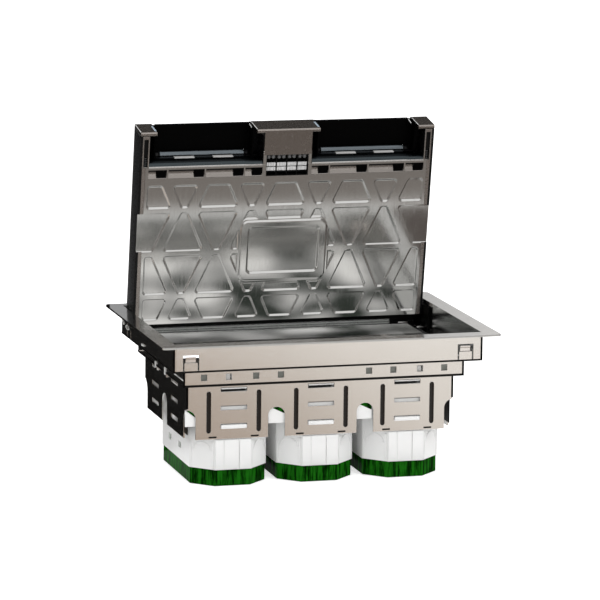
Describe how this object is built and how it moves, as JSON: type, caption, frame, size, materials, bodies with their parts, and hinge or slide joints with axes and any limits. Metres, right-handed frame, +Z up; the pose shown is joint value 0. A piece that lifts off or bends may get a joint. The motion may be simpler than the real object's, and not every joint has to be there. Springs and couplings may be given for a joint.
{
  "type": "floor socket box",
  "caption": "Stainless floor box with a hinged lid, two cable flaps, a stepped housing and octagonal socket cups hung under a trim flange.",
  "frame": {"origin": "under the middle of the flange, at the level of the underside of the cups", "axes": "+Z up, +X along the flange, lid hinge at the rear on the +Y side; the lid stands open"},
  "size_m": [0.276, 0.199, 0.2731],
  "materials": {
    "stainless": "brushed, slightly warm stainless steel",
    "bright_steel": "polished stainless sheet, pressed",
    "dark_shell": "black moulded plastic",
    "bronze_trim": "dark bronze metallic lacquer, satin",
    "white_plastic": "white moulded plastic, satin",
    "green_plastic": "clear green moulded plastic",
    "contact_brass": "plain",
    "seal_rubber": "foam rubber",
    "spring_steel": "spring steel strip"
  },
  "bodies": {
    "floor_box": {"trim_frame": "stainless", "mounting_frame": "stainless", "socket_carrier": "stainless", "carrier_deck": "stainless", "skirt_clips": "spring_steel", "carrier_clips": "spring_steel", "left_hinge_ear": "spring_steel", "right_hinge_ear": "spring_steel", "left_hinge_pin": "spring_steel", "right_hinge_pin": "spring_steel", "earth_contacts": "contact_brass", "left_cup": "green_plastic", "left_cup_sleeve": "white_plastic", "left_module_holder": "dark_shell", "left_front_socket": "white_plastic", "left_rear_socket": "white_plastic", "centre_cup": "green_plastic", "centre_cup_sleeve": "white_plastic", "centre_module_holder": "dark_shell", "centre_front_socket": "white_plastic", "centre_rear_socket": "white_plastic", "right_cup": "green_plastic", "right_cup_sleeve": "white_plastic", "right_module_holder": "dark_shell", "right_front_socket": "white_plastic", "right_rear_socket": "white_plastic", "lid_seal": "seal_rubber", "hinge_shroud": "dark_shell"},
    "lid": {"lid_shell": "dark_shell", "lid_cover": "stainless", "lid_stiffener_plate": "bright_steel", "left_corner_cap": "bronze_trim", "right_corner_cap": "bronze_trim", "grip_grille": "dark_shell", "outlet_springs": "spring_steel", "sill_tabs": "spring_steel"},
    "left_flap": {"left_cable_flap": "dark_shell"},
    "right_flap": {"right_cable_flap": "dark_shell"},
    "grip": {"lid_grip": "bronze_trim"}
  },
  "joints": [
    {"name": "lid_hinge", "type": "hinge", "parent": "floor_box", "child": "lid", "pos_m": [0, 0.07996, 0.11397], "axis": [1, 0, 0], "range_deg": [-14.85, 80.15]},
    {"name": "left_flap_hinge", "type": "hinge", "parent": "lid", "child": "left_flap", "pos_m": [-0.0674, 0.06129, 0.24724], "axis": [-1, 0, 0], "range_deg": [0, 60], "stiffness_Nm_per_rad": 0.02, "springref_deg": -17.19},
    {"name": "right_flap_hinge", "type": "hinge", "parent": "lid", "child": "right_flap", "pos_m": [0.0674, 0.06129, 0.24724], "axis": [-1, 0, 0], "range_deg": [0, 60], "stiffness_Nm_per_rad": 0.02, "springref_deg": -17.19},
    {"name": "grip_slide", "type": "slide", "parent": "lid", "child": "grip", "axis": [0, 0.1711, -0.9853], "range_m": [0, 0.0025], "stiffness_N_per_m": 800, "springref_m": -0.003}
  ]
}
